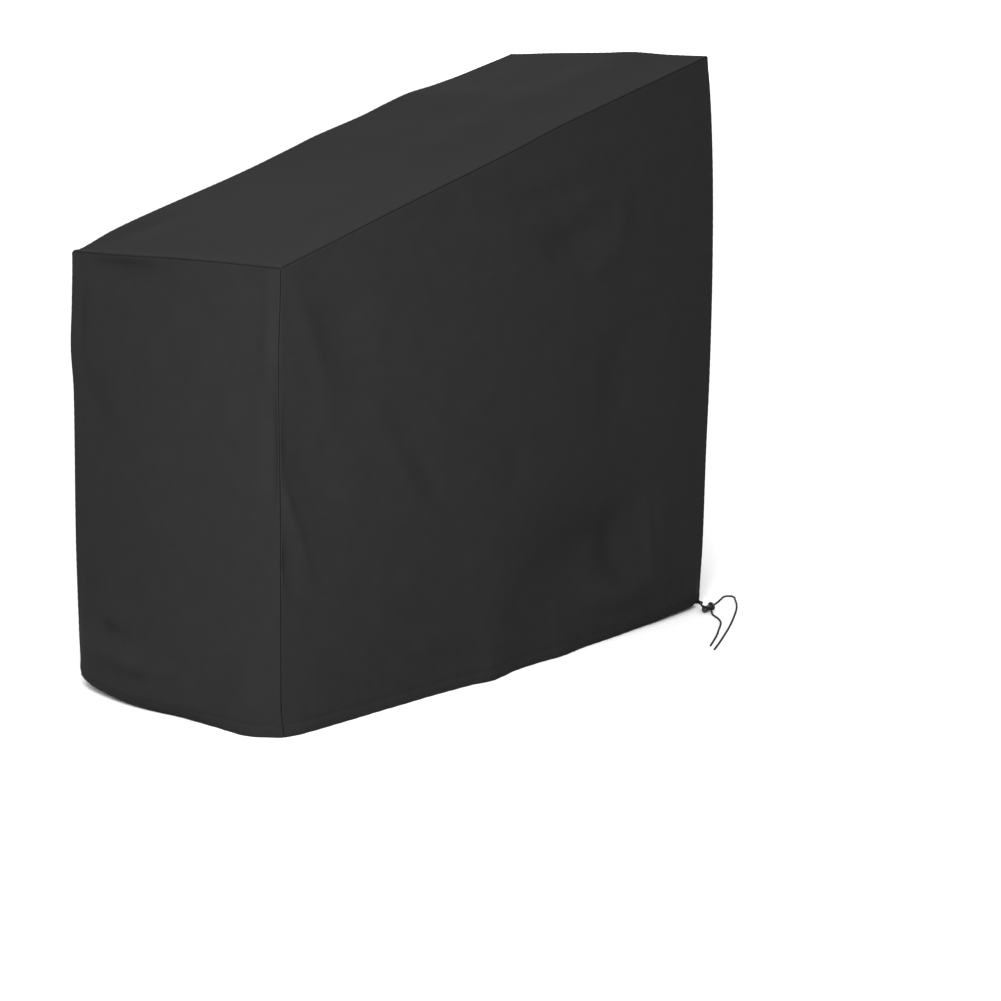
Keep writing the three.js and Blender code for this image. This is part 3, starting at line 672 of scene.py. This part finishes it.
LONG_ROUTE = [
    (617, -274.8, 12.6), (616.5, -279.5, 12.9), (612.5, -286, 13.9), (605, -291.5, 15),
    (596.5, -296.5, 15.9), (588, -301.5, 16.4), by_lock(-13.3, 4.5, 16.5), by_lock(-15, -2, 16.1),
    by_lock(-15.2, -8.8, 15.1), by_lock(-12.4, -15.5, 14), by_lock(-6.1, -18.2, 12.7),
    by_lock(0.4, -15.6, 11.4), by_lock(LONG_AT, -9, 10.1), in_lock(LONG_AT, -4), in_lock(LONG_AT, 4),
    by_lock(LONG_AT + 0.3, 9, 9.5), by_lock(LONG_AT + 3.5, 15, 7.8),
    (607, -297.2, 5.2), (614.5, -295, 3), (624, -294.5, ON_FLOOR), (637, -293.8, ON_FLOOR),
    (656, -290, ON_FLOOR), (680, -282, ON_FLOOR), (705, -272.5, ON_FLOOR), (720, -267, ON_FLOOR),
    (732, -268, ON_FLOOR), (737.6, -277, ON_FLOOR), (732.2, -288, ON_FLOOR), (717, -300.5, ON_FLOOR),
    (696, -318, ON_FLOOR), (671, -336.5, ON_FLOOR), (640, -356.5, ON_FLOOR), (600, -379.5, ON_FLOOR),
    (554, -405, ON_FLOOR), (505, -430.5, ON_FLOOR), (457, -454, ON_FLOOR), (404, -479.5, ON_FLOOR),
    (350, -504, ON_FLOOR),
]
CORD_SIDES = 32
CORD_STEP = 0.9
BRAID_PITCH = 9
BRAID_YARNS = 8
BRAID_RELIEF = 0.09
END_ROUND = CORD / 2
END_LEAST = 0.3
INTO_HEM = 2.5
CURVE_STEPS = 24


def smooth_route(points):
    """A centripetal Catmull-Rom curve through the points at even steps, and the length run at each step.

    Between two points it is a cubic whose slopes come from the neighbours, weighed by the square roots of
    the distances; the first and last point are mirrored to get the neighbours that they lack.
    """
    points = np.array(points, float)
    points = np.concatenate([[2 * points[0] - points[1]], points, [2 * points[-1] - points[-2]]])
    gap = np.sqrt(np.linalg.norm(np.diff(points, axis=0), axis=-1, keepdims=True))
    a, b, c, d = points[:-3], points[1:-2], points[2:-1], points[3:]
    ab, bc, cd = gap[:-2], gap[1:-1], gap[2:]
    leave = ((b - a) / ab - (c - a) / (ab + bc) + (c - b) / bc) * bc
    arrive = ((c - b) / bc - (d - b) / (bc + cd) + (d - c) / cd) * bc
    t = np.linspace(0, 1, CURVE_STEPS + 1)[:-1, None, None]
    curve = ((2 * t**3 - 3 * t**2 + 1) * b + (t**3 - 2 * t**2 + t) * leave
             + (3 * t**2 - 2 * t**3) * c + (t**3 - t**2) * arrive)
    curve = np.concatenate([curve.transpose(1, 0, 2).reshape(-1, 3), points[-2:-1]])
    run = np.concatenate([[0], np.cumsum(np.linalg.norm(np.diff(curve, axis=0), axis=-1))])
    even = np.linspace(0, run[-1], round(run[-1] / CORD_STEP) + 1)
    return np.stack([np.interp(even, run, curve[:, k]) for k in range(3)], axis=-1), even


def braided_cord(name, route, node, material):
    """A braided strand: a tube along its route whose radius carries two crossing sets of yarns.

    The relief is the product of two waves that wind round the cord to the left and to the right. Both ends
    are drawn in to a round over their last radius. Its first INTO_HEM lie inside the hem's channel.
    """
    path, run = smooth_route([np.array(route[0]) + (0, INTO_HEM, 0), *route])
    path[:, 2] = np.maximum(path[:, 2], CORD / 2)
    ahead = unit(np.gradient(path, axis=0))
    across = unit(np.cross(ahead, (0, 0, 1)))
    over = np.cross(across, ahead)
    angle = np.arange(CORD_SIDES) * 2 * np.pi / CORD_SIDES
    wind = 2 * np.pi * run[:, None] / BRAID_PITCH
    relief = np.cos(BRAID_YARNS / 2 * (angle + wind)) * np.cos(BRAID_YARNS / 2 * (angle - wind))
    to_end = np.minimum(run, run[-1] - run)[:, None]
    blunt = np.sqrt(np.clip(1 - (1 - np.clip(to_end / END_ROUND, 0, 1)) ** 2, END_LEAST**2, 1))
    radius = (CORD / 2 - BRAID_RELIEF + BRAID_RELIEF * relief) * blunt
    round_way = across[:, None] * np.cos(angle)[:, None] + over[:, None] * np.sin(angle)[:, None]
    rings = path[:, None] + radius[..., None] * round_way
    uv = np.stack(np.broadcast_arrays(run[:, None], angle * CORD / 2), axis=-1).reshape(-1, 2) * MM
    piece = tube_piece(name, rings[None], material, uv)
    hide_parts(node)


def srgb(hex_value):
    """An sRGB hex colour as linear values with full alpha."""
    parts = [int(hex_value[k:k + 2], 16) / 255 for k in (1, 3, 5)]
    return [c / 12.92 if c <= 0.04045 else ((c + 0.055) / 1.055) ** 2.4 for c in parts] + [1]


def add_node(tree, kind, inputs=None, **settings):
    """A node with its settings and its inputs by name or number, each a value or a socket to link."""
    node = tree.nodes.new(kind)
    for key, value in settings.items():
        setattr(node, key, value)
    for key, value in (inputs or {}).items():
        if isinstance(value, bpy.types.NodeSocket):
            tree.links.new(value, node.inputs[key])
        else:
            node.inputs[key].default_value = value
    return node


def new_material(name, settings):
    """A material with one Principled shader, and its node tree and shader."""
    material = bpy.data.materials.new(name)
    material.use_nodes = True
    tree = material.node_tree
    shader = tree.nodes["Principled BSDF"]
    for key, value in settings.items():
        shader.inputs[key].default_value = value
    return material, tree, shader


# Threads of the cloth are 0.35 mm apart, too fine to show, so the weave is drawn three times as coarse.
WEAVE_PITCH = 1.05
# Patches where the coating is a little thinner or thicker, and single thicker yarns: how many a metre.
PATCHES = 24
SLUBS = (9, 900, 1)
# Roughness from the smoothest patch to the roughest, the height of the relief in millimetres, and the
# slubs' share of it beside the weave's.
CLOTH_ROUGHNESS = (0.78, 0.92)
CLOTH_RELIEF = 0.15
SLUB_SHARE = 0.8


def coated_polyester():
    """Oxford cloth: plain-woven polyester, dyed black and coated with polyurethane on its inside.

    The eye gets a near-black, matt face with no highlights, a faint weave, and soft patches and slubs.
    """
    material, tree, shader = new_material("coated_polyester_weave", {
        "IOR": 1.58, "Specular IOR Level": 0.03,
    })
    uv = add_node(tree, "ShaderNodeUVMap", uv_map="real_size").outputs["UV"]
    patches = add_node(tree, "ShaderNodeTexNoise", {
        "Vector": uv, "Scale": PATCHES, "Detail": 9, "Roughness": 0.72}).outputs[0]
    colour = add_node(tree, "ShaderNodeMix", {0: patches, 6: srgb(CLOTH_DARK), 7: srgb(CLOTH_LIGHT)},
                      data_type="RGBA")
    rough = add_node(tree, "ShaderNodeMapRange", {
        "Value": patches, "To Min": CLOTH_ROUGHNESS[0], "To Max": CLOTH_ROUGHNESS[1]})
    parts = add_node(tree, "ShaderNodeSeparateXYZ", {0: uv}).outputs
    waves = []
    for axis in ("X", "Y"):
        angle = add_node(tree, "ShaderNodeMath", {0: parts[axis], 1: math.pi / (WEAVE_PITCH * MM)},
                         operation="MULTIPLY").outputs[0]
        waves.append(add_node(tree, "ShaderNodeMath", {0: angle}, operation="SINE").outputs[0])
    weave = add_node(tree, "ShaderNodeMath", {0: waves[0], 1: waves[1]}, operation="MULTIPLY").outputs[0]
    stretched = add_node(tree, "ShaderNodeVectorMath", {0: uv, 1: SLUBS}, operation="MULTIPLY").outputs[0]
    slubs = add_node(tree, "ShaderNodeTexNoise", {"Vector": stretched, "Scale": 1, "Detail": 2}).outputs[0]
    height = add_node(tree, "ShaderNodeMath", {0: slubs, 1: SLUB_SHARE, 2: weave}, operation="MULTIPLY_ADD")
    bump = add_node(tree, "ShaderNodeBump", {
        "Strength": 0.35, "Distance": CLOTH_RELIEF * MM, "Height": height.outputs[0]})
    tree.links.new(colour.outputs[2], shader.inputs["Base Color"])
    tree.links.new(rough.outputs[0], shader.inputs["Roughness"])
    tree.links.new(bump.outputs[0], shader.inputs["Normal"])
    return material


def speckled_polymer(name, dark, light, speck, relief, settings):
    """A polymer whose colour varies between dark and light, and whose surface rises, in specks.

    speck and relief are the specks' size and height in millimetres.
    """
    material, tree, shader = new_material(name, settings)
    place_on = add_node(tree, "ShaderNodeTexCoord").outputs["Object"]
    specks = add_node(tree, "ShaderNodeTexNoise", {
        "Vector": place_on, "Scale": 1 / (speck * MM), "Detail": 3})
    colour = add_node(tree, "ShaderNodeMix", {0: specks.outputs[0], 6: srgb(dark), 7: srgb(light)},
                      data_type="RGBA")
    bump = add_node(tree, "ShaderNodeBump", {"Distance": relief * MM, "Height": specks.outputs[0]})
    tree.links.new(colour.outputs[2], shader.inputs["Base Color"])
    tree.links.new(bump.outputs[0], shader.inputs["Normal"])
    return material


FLOOR_REACH = 40.0


def stage_floor():
    """A wide, plain, pale floor."""
    corners = np.array([(x * FLOOR_REACH, y * FLOOR_REACH, FLOOR)
                        for x, y in ((-1, -1), (1, -1), (1, 1), (-1, 1))])
    material = new_material("matt_floor_paint", {
        "Base Color": srgb(FLOOR_PALE), "Roughness": 1, "Specular IOR Level": 0})[0]
    build_mesh("floor", corners, [[0, 1, 2, 3]], corners[:, :2], material, body=None)


# Camera: its heading from +Y, how far it looks down, its focal length and its place, from the fitted view.
CAMERA_HEADING = -49.508
CAMERA_DOWN = 11.6877
CAMERA_LENS = 81.945
CAMERA_SENSOR = 36
CAMERA_REACH = 200
CAMERA_PLACE = (-3306.7, -3059.3, 1227.7)


def add_camera():
    """The camera at the fitted view; at heading 0 it looks along +Y."""
    data = bpy.data.cameras.new("camera")
    data.lens = CAMERA_LENS
    data.sensor_width = CAMERA_SENSOR
    data.clip_end = CAMERA_REACH
    camera = bpy.data.objects.new("camera", data)
    camera.location = place(np.array(CAMERA_PLACE))
    camera.rotation_euler = (math.radians(90 - CAMERA_DOWN), 0, math.radians(CAMERA_HEADING))
    bpy.context.scene.collection.objects.link(camera)
    bpy.context.scene.camera = camera


def add_area_light(name, location, target, width, power):
    """A round area light at a place in metres that faces its target; its power is in watts."""
    data = bpy.data.lights.new(name, "AREA")
    data.shape = "DISK"
    data.size = width
    data.energy = power
    light = bpy.data.objects.new(name, data)
    light.location = location
    light.rotation_mode = "QUATERNION"
    light.rotation_quaternion = (Vector(target) - Vector(location)).to_track_quat("-Z", "Y")
    bpy.context.scene.collection.objects.link(light)


# Surround: white all round, fading low towards the front right. The fade starts where a direction's dot
# product with DIM_TOWARDS is DIM_FROM, and is complete where it is DIM_TO.
SURROUND_WHITE = 1.7
SURROUND_DIM = 0.8
DIM_TOWARDS = (0.63, -0.72, -0.28)
DIM_FROM = -0.1
DIM_TO = 0.55

# Key light: its place, what it faces and its width in metres, and its power in watts.
KEY_PLACE = (-2.2, -1.9, 0.7)
KEY_TARGET = (-0.3, 0, -0.5)
KEY_WIDTH = 0.9
KEY_POWER = 155


def add_lights():
    """The surround, and one soft key light from the front left."""
    world = bpy.data.worlds.new("studio")
    world.use_nodes = True
    tree = world.node_tree
    ray = add_node(tree, "ShaderNodeTexCoord").outputs["Generated"]
    facing = add_node(tree, "ShaderNodeVectorMath", {0: ray, 1: DIM_TOWARDS}, operation="DOT_PRODUCT")
    strength = add_node(tree, "ShaderNodeMapRange", {
        "Value": facing.outputs["Value"], "From Min": DIM_FROM, "From Max": DIM_TO,
        "To Min": SURROUND_WHITE, "To Max": SURROUND_DIM,
    }, interpolation_type="SMOOTHSTEP").outputs["Result"]
    background = tree.nodes["Background"]
    background.inputs["Color"].default_value = (1, 1, 1, 1)
    tree.links.new(strength, background.inputs["Strength"])
    bpy.context.scene.world = world
    bpy.context.scene.view_settings.view_transform = "Standard"
    add_area_light("key", KEY_PLACE, KEY_TARGET, KEY_WIDTH, KEY_POWER)


add_camera()

# Braided polyester: two crossing sets of spun yarns, dyed black. The eye gets a dry, dark, ribbed face.
braid = speckled_polymer("braided_polyester", dark="#0a0a0a", light="#131313", speck=0.4, relief=0.06,
                         settings={"Roughness": 0.8, "IOR": 1.58, "Specular IOR Level": 0.1})
braided_cord("strand_short", SHORT_ROUTE, "drawcord_short", braid)
braided_cord("strand_long", LONG_ROUTE, "drawcord_long", braid)

# Spun polyester thread: short twisted fibres, which give a dull black line a little darker than the cloth.
thread = speckled_polymer("spun_polyester_thread", dark="#121212", light="#1c1c1c", speck=0.3, relief=0.05,
                          settings={"Roughness": 0.8, "IOR": 1.58, "Specular IOR Level": 0.05})
for name, route in (("short", SHORT_ROUTE), ("long", LONG_ROUTE)):
    hole_stitches("hole_stitches_" + name, route, thread)

# Acetal, injection-moulded in a finely spark-eroded tool: black, with a satin and slightly grainy gloss.
acetal = speckled_polymer("moulded_acetal", dark="#131313", light="#181818", speck=0.5, relief=0.02,
                          settings={"Roughness": 0.4, "IOR": 1.48})
moulded_piece("moulded_barrel", "cord_lock_barrel", "cover", acetal)
moulded_piece("moulded_plunger", "cord_lock_plunger", "plunger", acetal)

cloth = coated_polyester()

# Panels: the side of the hood, the node, and the flat size as cut with its seam allowances and hem.
for side, node, flat, area in (
    ("near", "panel_side_near", (1.27, 1.21), 1.32),
    ("far", "panel_side_far", (1.27, 1.21), 1.32),
    ("low", "panel_end_low", (0.57, 0.865), None),
    ("high", "panel_end_high", (0.57, 1.21), None),
    ("top", "panel_top", (0.57, 1.317), None),
):
    name = "cloth_" + node.removeprefix("panel_")
    sewn = top_panel(name, cloth) if side == "top" else upright_panel(side, name, cloth)
    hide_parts(node)
    if side != "top":
        hem_stitches(side, "hem_stitches_" + side, thread)

stage_floor()
add_lights()
